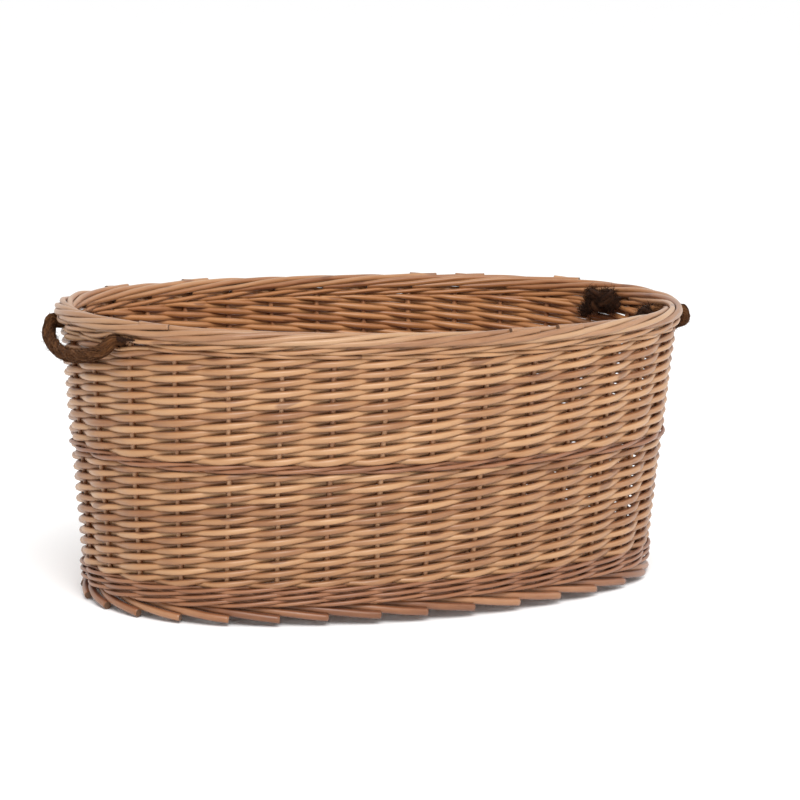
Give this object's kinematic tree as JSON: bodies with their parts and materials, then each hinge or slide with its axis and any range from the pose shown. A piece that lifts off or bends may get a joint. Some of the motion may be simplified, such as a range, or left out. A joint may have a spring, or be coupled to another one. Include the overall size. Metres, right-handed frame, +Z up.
{
  "type": "wicker log basket",
  "caption": "Oval woven willow log basket with gently tapering sides, a rolled rim border and a rope loop handle at each end.",
  "frame": {"origin": "centre of the oval on the floor, at the flat underside of the foot border", "axes": "+X along the basket towards the right handle, +Y towards the back long side, +Z up through the open top"},
  "size_m": [0.8096, 0.5398, 0.34],
  "materials": {
    "willow": "satin peeled willow",
    "willow_light": "satin peeled willow, lighter",
    "willow_red": "satin willow, redder",
    "willow_stick": "plain willow stick",
    "rope": "hairy laid coir rope"
  },
  "bodies": {
    "basket": {"foot_border": "willow_red", "bottom_wale": "willow_red", "lower_siding": "willow", "middle_wale": "willow_red", "upper_siding": "willow", "top_wale": "willow", "rim_border": "willow_light", "front_stakes": "willow_stick", "back_stakes": "willow_stick", "left_end_stakes": "willow_stick", "right_end_stakes": "willow_stick", "base_weave": "willow", "base_cross_sticks": "willow_stick", "base_long_sticks": "willow_stick", "left_front_knot": "rope", "left_back_knot": "rope", "right_front_knot": "rope", "right_back_knot": "rope"},
    "left_handle": {"left_handle_rope": "rope"},
    "right_handle": {"right_handle_rope": "rope"}
  },
  "joints": [
    {"name": "left_handle_swing", "type": "hinge", "parent": "basket", "child": "left_handle", "pos_m": [-0.37341, 0, 0.315], "axis": [0, 1, 0], "range_deg": [0, 85]},
    {"name": "right_handle_swing", "type": "hinge", "parent": "basket", "child": "right_handle", "pos_m": [0.37341, 0, 0.315], "axis": [0, -1, 0], "range_deg": [0, 85]}
  ]
}
